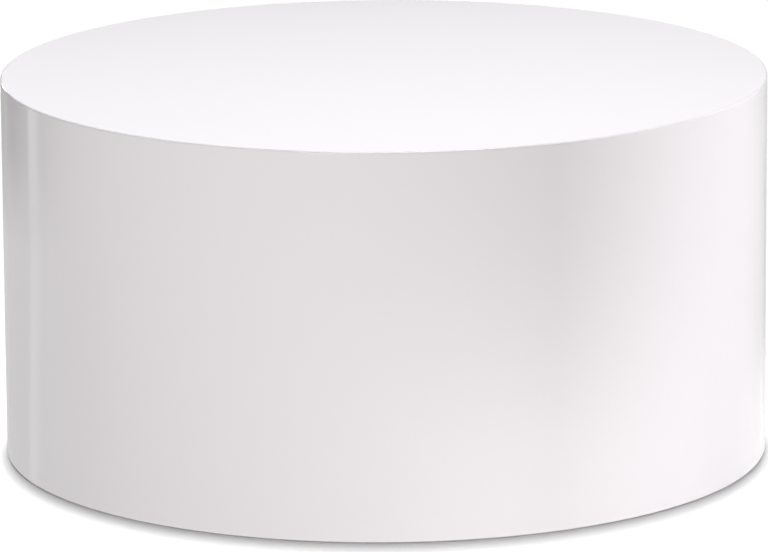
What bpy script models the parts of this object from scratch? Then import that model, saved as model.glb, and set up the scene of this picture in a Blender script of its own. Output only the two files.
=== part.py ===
"""Round drum coffee table: a white gloss drum that stands on four hidden levelling feet.

The drum is a sheet wall bent round two former rings and the ribs between them, with a rebated top
screwed on from inside.  Metres, +Z up, origin on the floor under the middle of the top.
"""

import math

import bmesh
import bpy
from mathutils import Matrix

MM = 0.001

# Overall size
TABLE_DIAMETER = 800 * MM
TABLE_HEIGHT = 400 * MM

# Top panel: a thick disc, rebated underneath so that a thin lip covers the end grain of the wall
TOP_THICKNESS = 25 * MM
TOP_LIP = 4 * MM
TOP_EDGE_RADIUS = 2 * MM

# Drum wall: one sheet bent round, its two ends butted together at the back over a glued strip
WALL_THICKNESS = 12 * MM
WALL_FOOT_RADIUS = 0.8 * MM
FLOOR_GAP = 1 * MM
SEAM_GAP = 0.4 * MM
SEAM_STRIP_WIDTH = 90 * MM
SEAM_STRIP_THICKNESS = 9 * MM

# Former rings and the tabbed ribs that stand between them
RING_WIDTH = 80 * MM
RING_THICKNESS = 18 * MM
RIBS_PER_BAY = 2
RIB_THICKNESS = 18 * MM
RIB_DEPTH = 50 * MM
RIB_TAB_WIDTH = 30 * MM
TAB_RECESS = 0.5 * MM

# Countersunk screws that hold the top down on the upper ring
SCREW_DIAMETER = 4.5 * MM
SCREW_HEAD_DIAMETER = 9 * MM
SCREW_LENGTH = 34 * MM
SCREW_TIP = 5 * MM
SCREW_SINK = 0.5 * MM

# Levelling feet: a flanged insert in the lower ring, a hexagon stud and a swivelling glide
FOOT_COUNT = 4
FOOT_TRAVEL = 10 * MM
GLIDE_DIAMETER = 38 * MM
GLIDE_HEIGHT = 9 * MM
GLIDE_RIM_HEIGHT = 4 * MM
GLIDE_HUB_DIAMETER = 20 * MM
GLIDE_CHAMFER = 1 * MM
STUD_DIAMETER = 8 * MM
STUD_ENGAGEMENT = 24 * MM
STUD_CHAMFER = 1 * MM
STUD_NECK_DIAMETER = 6 * MM
RIVET_DIAMETER = 11 * MM
RIVET_THICKNESS = 2 * MM
RIVET_FLOOR_CLEARANCE = 1 * MM
HEX_ACROSS_FLATS = 13 * MM
HEX_HEIGHT = 5.5 * MM
INSERT_DIAMETER = 12 * MM
INSERT_LENGTH = 16 * MM
INSERT_FLANGE_DIAMETER = 22 * MM
INSERT_FLANGE_THICKNESS = 1.6 * MM

# Gap left between faces that touch, and the play of the parts that turn
FIT = 0.3 * MM

# Faces round a full turn, and along a rounded edge
DRUM_SEGMENTS = 96
SMALL_SEGMENTS = 24
SCREW_SEGMENTS = 12
EDGE_STEPS = 4

# Points closer than this are the same point, where a turned shape closes on itself
MERGE_DISTANCE = 0.002 * MM

# How far a cutter stands clear of the face that it cuts through
CUT_MARGIN = 2 * MM

# Radii that follow from the sizes above
outer_radius = TABLE_DIAMETER / 2
wall_inner_radius = outer_radius - WALL_THICKNESS
liner_radius = wall_inner_radius - FIT
ring_inner_radius = liner_radius - RING_WIDTH
ring_middle_radius = (liner_radius + ring_inner_radius) / 2
# The flats of a faceted wall lie a little inside its corners
wall_flat_radius = wall_inner_radius * math.cos(math.pi / DRUM_SEGMENTS)

# Heights that follow from the sizes above, from the floor up
hex_bottom = GLIDE_HEIGHT + FIT
hex_top = hex_bottom + HEX_HEIGHT
flange_bottom = hex_top + FIT
base_ring_bottom = flange_bottom + INSERT_FLANGE_THICKNESS + FIT
base_ring_top = base_ring_bottom + RING_THICKNESS
wall_top = TABLE_HEIGHT - TOP_LIP - FIT
top_underside = TABLE_HEIGHT - TOP_THICKNESS
top_ring_top = top_underside - FIT
top_ring_bottom = top_ring_top - RING_THICKNESS

# Directions round the drum: one foot at the back, on the seam, and the ribs spread between the feet
back_angle = math.pi / 2
bay_angle = 2 * math.pi / FOOT_COUNT
rib_count = FOOT_COUNT * RIBS_PER_BAY
rib_step = 2 * math.pi / rib_count
foot_angles = [back_angle + i * bay_angle for i in range(FOOT_COUNT)]
rib_angles = [back_angle + (i + 0.5) * rib_step for i in range(rib_count)]
screw_angles = [back_angle + i * rib_step for i in range(rib_count)]


def clear_scene():
    for obj in list(bpy.data.objects):
        bpy.data.objects.remove(obj)


def make_material(name, colour, roughness, metallic=0.0):
    material = bpy.data.materials.new(name)
    material.use_nodes = True
    shader = material.node_tree.nodes["Principled BSDF"]
    shader.inputs["Base Color"].default_value = (*colour, 1.0)
    shader.inputs["Roughness"].default_value = roughness
    shader.inputs["Metallic"].default_value = metallic
    return material


def mesh_from(bm, name):
    """Closes a bmesh into a mesh that is shaded smooth except at its real edges."""
    bmesh.ops.recalc_face_normals(bm, faces=bm.faces[:])
    mesh = bpy.data.meshes.new(name)
    bm.to_mesh(mesh)
    bm.free()
    mesh.shade_smooth()
    mesh.set_sharp_from_angle(angle=math.radians(35))
    return mesh


def add_object(name, mesh, material, place=None):
    obj = bpy.data.objects.new(name, mesh)
    if not mesh.materials:
        mesh.materials.append(material)
    if place is not None:
        obj.matrix_world = place
    bpy.context.scene.collection.objects.link(obj)
    return obj


def cut(target, name, bm):
    """Takes the shapes in bm out of the target, with a hidden cutter."""
    cutter = bpy.data.objects.new(name, mesh_from(bm, name))
    cutter.hide_render = True
    cutter.display_type = "WIRE"
    bpy.context.scene.collection.objects.link(cutter)
    modifier = target.modifiers.new(name, "BOOLEAN")
    modifier.operation = "DIFFERENCE"
    modifier.object = cutter


def at_angle(angle, radius=0.0, height=0.0):
    """A place in the drum: that far from its axis, with local X pointing outwards."""
    return Matrix.Rotation(angle, 4, "Z") @ Matrix.Translation((radius, 0.0, height))


def arc(centre, radius, start_deg, end_deg, steps):
    """Points (r, z) along an arc in the profile plane."""
    angles = [math.radians(start_deg + (end_deg - start_deg) * i / steps) for i in range(steps + 1)]
    return [(centre[0] + radius * math.cos(a), centre[1] + radius * math.sin(a)) for a in angles]


def turn(bm, profile, segments, place=None, closed=True, start=0.0, sweep=2 * math.pi):
    """Spins a profile of (r, z) points about Z.  An open profile starts and ends on the axis."""
    first = Matrix.Rotation(start, 4, "Z")
    verts = [bm.verts.new(first @ Matrix.Translation((r, 0.0, z)).translation) for r, z in profile]
    ends = verts[1:] + verts[:1] if closed else verts[1:]
    edges = [bm.edges.new(pair) for pair in zip(verts, ends)]
    bmesh.ops.spin(
        bm,
        geom=verts + edges,
        axis=(0.0, 0.0, 1.0),
        cent=(0.0, 0.0, 0.0),
        angle=sweep,
        steps=segments,
    )
    bmesh.ops.remove_doubles(bm, verts=bm.verts[:], dist=MERGE_DISTANCE)
    if sweep < 2 * math.pi:
        bmesh.ops.holes_fill(bm, edges=[e for e in bm.edges if e.is_boundary])
    if place is not None:
        bmesh.ops.transform(bm, matrix=place, verts=bm.verts[:])


def turned_mesh(name, profile, segments, **how):
    bm = bmesh.new()
    turn(bm, profile, segments, **how)
    return mesh_from(bm, name)


def turned_at(profile, segments, places, closed=False):
    """One bmesh with the same turned shape at each place, for a cutter with several holes."""
    whole = bmesh.new()
    for place in places:
        single = bmesh.new()
        turn(single, profile, segments, place=place, closed=closed)
        bmesh.ops.recalc_face_normals(single, faces=single.faces[:])
        shape = bpy.data.meshes.new("hole")
        single.to_mesh(shape)
        single.free()
        whole.from_mesh(shape)
        bpy.data.meshes.remove(shape)
    return whole


def loft(bm, loops):
    """Skins a stack of loops that have as many points each, and closes both ends."""
    rings = [[bm.verts.new(point) for point in loop] for loop in loops]
    for lower, upper in zip(rings, rings[1:]):
        for i in range(len(lower)):
            j = (i + 1) % len(lower)
            bm.faces.new((lower[i], lower[j], upper[j], upper[i]))
    bm.faces.new(rings[0][::-1])
    bm.faces.new(rings[-1])


def round_loop(radius, z):
    angles = [2 * math.pi * i / SMALL_SEGMENTS for i in range(SMALL_SEGMENTS)]
    return [(radius * math.cos(a), radius * math.sin(a), z) for a in angles]


def hexagon_loop(across_flats, z):
    """A hexagon drawn with as many points as a round loop, its corners among them."""
    points = []
    for i in range(SMALL_SEGMENTS):
        angle = 2 * math.pi * i / SMALL_SEGMENTS
        from_flat = angle % (math.pi / 3) - math.pi / 6
        radius = across_flats / 2 / math.cos(from_flat)
        points.append((radius * math.cos(angle), radius * math.sin(angle), z))
    return points


# Top panel

def make_top_panel(material):
    """A disc with a rounded upper edge.  Its lip rests on the wall and the rest drops inside it."""
    edge_radius = min(TOP_EDGE_RADIUS, TOP_LIP * 0.9)
    edge_centre = (outer_radius - edge_radius, TABLE_HEIGHT - edge_radius)
    lip_underside = TABLE_HEIGHT - TOP_LIP
    profile = [
        (0.0, top_underside),
        (liner_radius, top_underside),
        (liner_radius, lip_underside),
        (outer_radius, lip_underside),
        *arc(edge_centre, edge_radius, 0, 90, EDGE_STEPS),
        (0.0, TABLE_HEIGHT),
    ]
    mesh = turned_mesh("top_panel", profile, DRUM_SEGMENTS, closed=False)
    panel = add_object("top_panel", mesh, material)

    # Pilot holes for the screws, blind from below
    hole_radius = SCREW_DIAMETER / 2 + FIT
    hole_bottom = top_underside - CUT_MARGIN
    hole_top = top_ring_bottom + SCREW_SINK + SCREW_LENGTH + FIT
    hole = [(0.0, hole_bottom), (hole_radius, hole_bottom), (hole_radius, hole_top), (0.0, hole_top)]
    places = [at_angle(a, ring_middle_radius) for a in screw_angles]
    cut(panel, "pilot_holes", turned_at(hole, SCREW_SEGMENTS, places))


# Drum wall and the strip behind its seam

def make_drum_wall(material):
    """The bent sheet, from one side of the seam at the back all the way round to the other."""
    foot_radius = min(WALL_FOOT_RADIUS, WALL_THICKNESS * 0.45)
    foot_centre = (outer_radius - foot_radius, FLOOR_GAP + foot_radius)
    profile = [
        (wall_inner_radius, wall_top),
        (wall_inner_radius, FLOOR_GAP),
        *arc(foot_centre, foot_radius, -90, 0, EDGE_STEPS),
        (outer_radius, wall_top),
    ]
    seam_angle = SEAM_GAP / outer_radius
    how = {"start": back_angle + seam_angle / 2, "sweep": 2 * math.pi - seam_angle}
    add_object("drum_wall", turned_mesh("drum_wall", profile, DRUM_SEGMENTS, **how), material)


def make_seam_strip(material):
    """A strip bent to the inside of the wall and glued across the seam, from ring to ring."""
    outside = wall_flat_radius - FIT
    inside = outside - SEAM_STRIP_THICKNESS
    bottom = base_ring_top + FIT
    top = top_ring_bottom - FIT
    profile = [(inside, bottom), (outside, bottom), (outside, top), (inside, top)]
    spread = SEAM_STRIP_WIDTH / outside
    steps = max(2, round(DRUM_SEGMENTS * spread / (2 * math.pi)))
    how = {"start": back_angle - spread / 2, "sweep": spread}
    add_object("seam_strip", turned_mesh("seam_strip", profile, steps, **how), material)


# Former rings

def make_ring(name, bottom, material):
    """A flat ring that the wall is glued to, slotted right through for the tabs of the ribs."""
    top = bottom + RING_THICKNESS
    profile = [
        (ring_inner_radius, bottom),
        (liner_radius, bottom),
        (liner_radius, top),
        (ring_inner_radius, top),
    ]
    mesh = turned_mesh(name, profile, DRUM_SEGMENTS)
    ring = add_object(name, mesh, material)

    slots = bmesh.new()
    slot_size = (
        RIB_TAB_WIDTH + 2 * FIT,
        RIB_THICKNESS + 2 * FIT,
        RING_THICKNESS + 2 * CUT_MARGIN,
    )
    for angle in rib_angles:
        middle = at_angle(angle, rib_middle_radius(), (bottom + top) / 2)
        bmesh.ops.create_cube(slots, size=1.0, matrix=middle @ Matrix.Diagonal((*slot_size, 1.0)))
    cut(ring, name + "_slots", slots)
    return ring


def make_top_ring(material):
    ring = make_ring("top_ring", top_ring_bottom, material)
    places = [at_angle(a, ring_middle_radius, top_ring_bottom + SCREW_SINK) for a in screw_angles]
    hole = [
        (0.0, -CUT_MARGIN),
        (SCREW_HEAD_DIAMETER / 2 + FIT, -CUT_MARGIN),
        (SCREW_HEAD_DIAMETER / 2 + FIT, 0.0),
        (SCREW_DIAMETER / 2 + FIT, screw_head_height()),
        (SCREW_DIAMETER / 2 + FIT, RING_THICKNESS + CUT_MARGIN),
        (0.0, RING_THICKNESS + CUT_MARGIN),
    ]
    cut(ring, "countersinks", turned_at(hole, SCREW_SEGMENTS, places))


def make_base_ring(material):
    ring = make_ring("base_ring", base_ring_bottom, material)
    radius = INSERT_DIAMETER / 2 + FIT
    bottom = base_ring_bottom - CUT_MARGIN
    top = base_ring_top + CUT_MARGIN
    hole = [(0.0, bottom), (radius, bottom), (radius, top), (0.0, top)]
    places = [at_angle(a, ring_middle_radius) for a in foot_angles]
    cut(ring, "insert_holes", turned_at(hole, SMALL_SEGMENTS, places))


# Ribs

def rib_middle_radius():
    """The middle of a rib's depth, with its outer edge against the wall."""
    half_chord_rise = (RIB_THICKNESS / 2) ** 2 / (2 * wall_flat_radius)
    return wall_flat_radius - FIT - half_chord_rise - RIB_DEPTH / 2


def make_ribs(material):
    """Upright boards, set edge on to the wall, with a tab at each end that fills a ring's slot."""
    half_depth = RIB_DEPTH / 2
    half_tab = RIB_TAB_WIDTH / 2
    foot = base_ring_bottom + TAB_RECESS
    low_shoulder = base_ring_top + FIT
    high_shoulder = top_ring_bottom - FIT
    head = top_ring_top - TAB_RECESS
    outline = [
        (-half_tab, foot),
        (half_tab, foot),
        (half_tab, low_shoulder),
        (half_depth, low_shoulder),
        (half_depth, high_shoulder),
        (half_tab, high_shoulder),
        (half_tab, head),
        (-half_tab, head),
        (-half_tab, high_shoulder),
        (-half_depth, high_shoulder),
        (-half_depth, low_shoulder),
        (-half_tab, low_shoulder),
    ]
    bm = bmesh.new()
    face = bm.faces.new([bm.verts.new((x, -RIB_THICKNESS / 2, z)) for x, z in outline])
    grown = bmesh.ops.extrude_face_region(bm, geom=[face])
    moved = [v for v in grown["geom"] if isinstance(v, bmesh.types.BMVert)]
    bmesh.ops.translate(bm, vec=(0.0, RIB_THICKNESS, 0.0), verts=moved)
    mesh = mesh_from(bm, "rib")
    for i, angle in enumerate(rib_angles, 1):
        add_object(f"rib_{i}", mesh, material, at_angle(angle, rib_middle_radius()))


# Screws

def screw_head_height():
    """A 90 degree countersunk head is as deep as it stands out from the shank."""
    return (SCREW_HEAD_DIAMETER - SCREW_DIAMETER) / 2


def make_top_screws(material):
    radius = SCREW_DIAMETER / 2
    profile = [
        (0.0, 0.0),
        (SCREW_HEAD_DIAMETER / 2, 0.0),
        (radius, screw_head_height()),
        (radius, SCREW_LENGTH - SCREW_TIP),
        (0.0, SCREW_LENGTH),
    ]
    mesh = turned_mesh("top_screw", profile, SCREW_SEGMENTS, closed=False)
    for i, angle in enumerate(screw_angles, 1):
        place = at_angle(angle, ring_middle_radius, top_ring_bottom + SCREW_SINK)
        add_object(f"top_screw_{i}", mesh, material, place)


# Levelling feet

def insert_mesh():
    """A flanged sleeve, pushed up into the lower ring, whose bore takes the stud."""
    bore = STUD_DIAMETER / 2 + FIT
    flange_top = flange_bottom + INSERT_FLANGE_THICKNESS
    sleeve_top = flange_top + INSERT_LENGTH
    profile = [
        (bore, flange_bottom),
        (INSERT_FLANGE_DIAMETER / 2, flange_bottom),
        (INSERT_FLANGE_DIAMETER / 2, flange_top),
        (INSERT_DIAMETER / 2, flange_top),
        (INSERT_DIAMETER / 2, sleeve_top),
        (bore, sleeve_top),
    ]
    return turned_mesh("foot_insert", profile, SMALL_SEGMENTS)


def stud_mesh():
    """One turned steel piece: rivet, neck, hexagon for a spanner, and the threaded shank."""
    rivet_top = RIVET_FLOOR_CLEARANCE + RIVET_THICKNESS
    shank_top = base_ring_bottom + STUD_ENGAGEMENT + FOOT_TRAVEL
    radius = STUD_DIAMETER / 2
    loops = [
        round_loop(RIVET_DIAMETER / 2, RIVET_FLOOR_CLEARANCE),
        round_loop(RIVET_DIAMETER / 2, rivet_top),
        round_loop(STUD_NECK_DIAMETER / 2, rivet_top),
        round_loop(STUD_NECK_DIAMETER / 2, hex_bottom),
        hexagon_loop(HEX_ACROSS_FLATS, hex_bottom),
        hexagon_loop(HEX_ACROSS_FLATS, hex_top),
        round_loop(radius, hex_top),
        round_loop(radius, shank_top - STUD_CHAMFER),
        round_loop(radius - STUD_CHAMFER, shank_top),
    ]
    bm = bmesh.new()
    loft(bm, loops)
    return mesh_from(bm, "foot_stud")


def glide_mesh():
    """The round foot itself, counterbored below so that the rivet holds it on the stud."""
    bore = STUD_NECK_DIAMETER / 2 + FIT
    counterbore = RIVET_DIAMETER / 2 + FIT
    counterbore_top = RIVET_FLOOR_CLEARANCE + RIVET_THICKNESS + FIT
    radius = GLIDE_DIAMETER / 2
    profile = [
        (counterbore, 0.0),
        (radius - GLIDE_CHAMFER, 0.0),
        (radius, GLIDE_CHAMFER),
        (radius, GLIDE_RIM_HEIGHT),
        (GLIDE_HUB_DIAMETER / 2, GLIDE_HEIGHT),
        (bore, GLIDE_HEIGHT),
        (bore, counterbore_top),
        (counterbore, counterbore_top),
    ]
    return turned_mesh("foot_glide", profile, SMALL_SEGMENTS)


def make_levelling_feet(steel, nylon):
    """Each foot's stud and glide have their origins on the axis that they turn about and move along."""
    insert, stud, glide = insert_mesh(), stud_mesh(), glide_mesh()
    for i, angle in enumerate(foot_angles, 1):
        axis = at_angle(angle, ring_middle_radius)
        add_object(f"foot_insert_{i}", insert, steel, axis)
        add_object(f"foot_stud_{i}", stud, steel, axis)
        add_object(f"foot_glide_{i}", glide, nylon, axis)


def main():
    clear_scene()
    lacquer = make_material("white_lacquer", (0.90, 0.88, 0.89), 0.08)
    fibreboard = make_material("fibreboard", (0.45, 0.31, 0.19), 0.85)
    plywood = make_material("birch_plywood", (0.68, 0.52, 0.34), 0.7)
    steel = make_material("zinc_plated_steel", (0.62, 0.63, 0.65), 0.35, 1.0)
    nylon = make_material("black_nylon", (0.03, 0.03, 0.032), 0.45)

    make_top_panel(lacquer)
    make_drum_wall(lacquer)
    make_seam_strip(plywood)
    make_top_ring(fibreboard)
    make_base_ring(fibreboard)
    make_ribs(plywood)
    make_top_screws(steel)
    make_levelling_feet(steel, nylon)


main()
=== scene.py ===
"""Round drum coffee table in white gloss lacquer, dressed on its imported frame.

Two slotted rings and eight ribs carry a bent wall, the top is screwed on from inside, and four
levelling feet stand under the lower ring.  Metres, +Z up, the floor at z = 0.
"""

import math

import bmesh
import bpy
import numpy as np
from mathutils import Matrix, Vector


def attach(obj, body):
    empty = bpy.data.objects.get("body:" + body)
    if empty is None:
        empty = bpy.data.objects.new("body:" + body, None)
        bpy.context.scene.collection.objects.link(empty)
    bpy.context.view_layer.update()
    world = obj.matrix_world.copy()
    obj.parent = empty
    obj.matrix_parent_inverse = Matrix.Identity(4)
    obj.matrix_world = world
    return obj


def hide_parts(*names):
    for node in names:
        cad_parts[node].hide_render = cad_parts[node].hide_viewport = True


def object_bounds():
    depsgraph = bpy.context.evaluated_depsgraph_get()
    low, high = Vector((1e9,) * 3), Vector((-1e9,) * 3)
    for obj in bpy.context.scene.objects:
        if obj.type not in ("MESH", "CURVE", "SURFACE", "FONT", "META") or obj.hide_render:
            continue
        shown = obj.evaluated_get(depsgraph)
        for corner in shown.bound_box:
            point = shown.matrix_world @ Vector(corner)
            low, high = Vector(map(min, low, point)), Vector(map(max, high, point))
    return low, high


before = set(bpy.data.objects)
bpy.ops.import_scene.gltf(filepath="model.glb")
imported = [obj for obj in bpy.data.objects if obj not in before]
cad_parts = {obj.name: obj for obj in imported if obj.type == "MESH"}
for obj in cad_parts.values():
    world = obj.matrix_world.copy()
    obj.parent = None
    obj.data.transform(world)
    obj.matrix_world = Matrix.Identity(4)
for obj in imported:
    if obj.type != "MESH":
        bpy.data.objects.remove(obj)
cad_low, cad_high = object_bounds()


# Former rings
# Two flat rings routed from 18 mm fibreboard, which the wall is bent round and glued to.  Their slots
# take the tabs of the ribs; the upper one is countersunk for the top's screws, the lower bored for feet.

MM = 0.001
FULL_TURN = 2 * math.pi
RIB_COUNT = 8
SLOT_PLAY = 0.3 * MM
HOLE_PATCH = 13 * MM
HOLE_PLAY = 0.3 * MM
SCREW_HEAD_RADIUS = 4.5 * MM
SCREW_RADIUS = 2.25 * MM
SCREW_SINK = 0.5 * MM
INSERT_RADIUS = 6 * MM
ROUTED_ARRIS = 0.5 * MM
ARRIS_SEGMENTS = 2
SOFTENED_EDGE = math.radians(40)
SHARP_EDGE = math.radians(35)
WELD = 0.001 * MM
RADIAL_CELLS = 2, 4, 4, 3, 2
SLOT_CELLS = 2
PLAIN_CELLS = 8
PATCH_CELLS = 4
DRAWN_IN = 0.4, 0.75, 1.0

rib_step = FULL_TURN / RIB_COUNT
rib_angles = math.pi / 2 + rib_step * (np.arange(RIB_COUNT) + 0.5)
screw_angles = rib_angles - rib_step / 2
foot_angles = screw_angles[::2]


def node_points(node):
    """The corners of a CAD node, one row each, which its sizes and places are read from."""
    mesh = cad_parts[node].data
    points = np.empty(len(mesh.vertices) * 3, np.float32)
    mesh.vertices.foreach_get("co", points)
    return points.reshape(-1, 3).astype(float)


def outward(angle):
    """Unit vectors that point away from the drum's axis at an angle, and along its rim."""
    c, s = math.cos(angle), math.sin(angle)
    return np.array([c, s, 0.0]), np.array([-s, c, 0.0])


def span(values):
    """The lowest and the highest of some values."""
    return values.min(), values.max()


def linear(colour):
    """An sRGB hex colour as linear red, green, blue and alpha."""
    srgb = np.array([int(colour[i:i + 2], 16) for i in (1, 3, 5)]) / 255
    light = np.where(srgb <= 0.04045, srgb / 12.92, ((srgb + 0.055) / 1.055) ** 2.4)
    return (*light.tolist(), 1.0)


def add(tree, kind, inputs=None, **settings):
    """Adds a node.  An input is a value, or the output socket of another node that feeds it."""
    made = tree.nodes.new(kind)
    for name, value in settings.items():
        setattr(made, name, value)
    for socket, value in (inputs or {}).items():
        if isinstance(value, bpy.types.NodeSocket):
            tree.links.new(value, made.inputs[socket])
        else:
            made.inputs[socket].default_value = value
    return made


def new_material(name):
    """An empty node material with its shader, ready for what feeds it."""
    material = bpy.data.materials.new(name)
    material.use_nodes = True
    tree = material.node_tree
    return material, tree, tree.nodes["Principled BSDF"].inputs


def feed(tree, socket, output):
    """Links a node's output to a socket of the shader."""
    tree.links.new(output, socket)


def make_piece(name, points, faces, materials, kinds=None):
    """Puts whole arrays of points and quads into an object at the origin, welds the points that coincide
    so that seams and poles close, and shades it smooth but for its sharp edges.  Kinds says which of the
    materials each quad has."""
    used, corners = np.unique(faces, return_inverse=True)
    mesh = bpy.data.meshes.new(name)
    mesh.from_pydata(points[used], [], corners.reshape(faces.shape))
    for material in materials:
        mesh.materials.append(material)
    if kinds is not None:
        mesh.polygons.foreach_set("material_index", kinds.astype(np.int32))
    bm = bmesh.new()
    bm.from_mesh(mesh)
    bmesh.ops.remove_doubles(bm, verts=bm.verts[:], dist=WELD)
    bm.to_mesh(mesh)
    bm.free()
    mesh.shade_smooth()
    mesh.set_sharp_from_angle(angle=SHARP_EDGE)
    made = bpy.data.objects.new(name, mesh)
    bpy.context.scene.collection.objects.link(made)
    return made


def soften(piece, width):
    """Breaks a piece's sharp edges by that much, as sanding does."""
    bevel = piece.modifiers.new("broken_edges", "BEVEL")
    bevel.width = width
    bevel.segments = ARRIS_SEGMENTS
    bevel.limit_method = "ANGLE"
    bevel.angle_limit = SOFTENED_EDGE


def slab(layers, quads):
    """A flat layout of quads made solid: the first layer of points is its underside, the last its top,
    and the sides climb through every layer along the layout's open edges.  Gives the points, the quads,
    and for each quad 0 on a face or 1 on a side."""
    count = len(layers[0])
    edges = np.concatenate([quads[:, [k, (k + 1) % 4]] for k in range(4)])
    there = edges[:, 0] * count + edges[:, 1]
    back = edges[:, 1] * count + edges[:, 0]
    rim = edges[~np.isin(there, back)]
    strip = np.column_stack([rim, rim[:, ::-1] + count])
    sides = [strip + k * count for k in range(len(layers) - 1)]
    top = quads + (len(layers) - 1) * count
    faces = np.concatenate([quads[:, ::-1], top, *sides])
    kinds = np.repeat([0, 1], [2 * len(quads), len(faces) - 2 * len(quads)])
    return np.concatenate(layers), faces, kinds


ring_radii = span(np.hypot(*node_points("base_ring")[:, :2].T))
rib_outward, rib_along = outward(rib_angles[0])
rib_depth = span(node_points("rib_1") @ rib_outward)
rib_width = np.ptp(node_points("rib_1") @ rib_along)
rib_levels = np.unique(node_points("rib_1")[:, 2].round(6))
tab_points = node_points("rib_1")[node_points("rib_1")[:, 2] < rib_levels[1] - WELD]
tab_depth = span(tab_points @ rib_outward)
hole_middle = sum(ring_radii) / 2


def ring_layout(hole_angles, hole_radius):
    """Quads between lines of equal radius and lines across them.  The lines across lie at a set distance
    to each side of a rib or of a hole, so slots have parallel sides, and are spread evenly between.
    Slots are left out, and the square round each hole is drawn in ring by ring to a circle."""
    slot_ends = tab_depth[0] - SLOT_PLAY, tab_depth[1] + SLOT_PLAY
    slot_half = rib_width / 2 + SLOT_PLAY
    stops = [ring_radii[0], hole_middle - HOLE_PATCH, slot_ends[0], hole_middle + HOLE_PATCH]
    stops += [slot_ends[1], ring_radii[1]]
    runs = [np.linspace(a, b, n, endpoint=False) for a, b, n in zip(stops, stops[1:], RADIAL_CELLS)]
    radius = np.concatenate([*runs, stops[-1:]])[:, None]
    inner_patch, slot_start, outer_patch, slot_end = np.cumsum(RADIAL_CELLS)[:4]

    slot_edge = np.arcsin(slot_half / radius)
    patch_edge = rib_step / 2 - np.arcsin(HOLE_PATCH / radius)
    half = np.concatenate([
        np.arcsin(np.linspace(0, slot_half, SLOT_CELLS + 1) / radius),
        slot_edge + (patch_edge - slot_edge) * np.linspace(0, 1, PLAIN_CELLS + 1)[1:],
        rib_step / 2 - np.arcsin(np.linspace(HOLE_PATCH, 0, PATCH_CELLS + 1)[1:] / radius),
    ], axis=1)
    sector = np.concatenate([-half[:, :0:-1], half[:, :-1]], axis=1)
    per_sector = sector.shape[1]
    rows, columns = len(radius), per_sector * RIB_COUNT
    reach = np.broadcast_to(radius, sector.shape).copy()
    flat_ends = np.minimum(np.abs(sector), slot_edge)
    for row in (slot_start, slot_end):
        reach[row] = radius[row] / np.cos(flat_ends[row])
    angle = (rib_angles[None, :, None] + sector[:, None, :]).reshape(rows, columns)
    reach = np.tile(reach, RIB_COUNT)
    points = np.stack([reach * np.cos(angle), reach * np.sin(angle)], -1).reshape(-1, 2)

    index = np.arange(rows * columns).reshape(rows, columns)
    onward = np.roll(index, -1, axis=1)
    cells = np.stack([index[:-1], index[1:], onward[1:], onward[:-1]], -1)
    keep = np.ones(cells.shape[:2], bool)
    across = np.arange(columns) % per_sector
    in_slot = np.abs(across + 0.5 - per_sector / 2) < SLOT_CELLS
    keep[slot_start:slot_end, in_slot] = False

    rings = []
    for hole_angle in hole_angles:
        turn = (hole_angle - rib_angles[0] + rib_step / 2) / rib_step
        middle = round(turn) % RIB_COUNT * per_sector
        side = np.arange(middle - PATCH_CELLS, middle + PATCH_CELLS + 1) % columns
        keep[inner_patch:outer_patch, side[:-1]] = False
        deep = np.arange(inner_patch, outer_patch + 1)
        loop = np.concatenate([
            index[deep[:-1], side[0]],
            index[outer_patch, side[:-1]],
            index[deep[:0:-1], side[-1]],
            index[inner_patch, side[:0:-1]],
        ])
        centre = hole_middle * outward(hole_angle)[0][:2]
        ray = points[loop] - centre
        circle = hole_radius * ray / np.linalg.norm(ray, axis=1, keepdims=True)
        drawn_in = [centre + ray + (circle - ray) * share for share in DRAWN_IN]
        rings.append((loop, np.concatenate(drawn_in)))
    quads = [cells[keep]]
    for loop, drawn_in in rings:
        count = len(loop)
        start = len(points)
        points = np.concatenate([points, drawn_in])
        loops = np.concatenate([[loop], start + np.arange(len(drawn_in)).reshape(-1, count)])
        after = np.roll(loops, -1, axis=1)
        quads.append(np.stack([loops[:-1], after[:-1], after[1:], loops[1:]], -1).reshape(-1, 4))
    return points, np.concatenate(quads)


def at_height(flat, z):
    """A layer of a flat layout's points, all at one height."""
    return np.column_stack([flat, np.full(len(flat), z)])


# The sockets of a Mix node of colours: its share and two colours, and its output.
SHARE, FIRST, SECOND = 0, 6, 7
MIXED = 2


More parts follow.
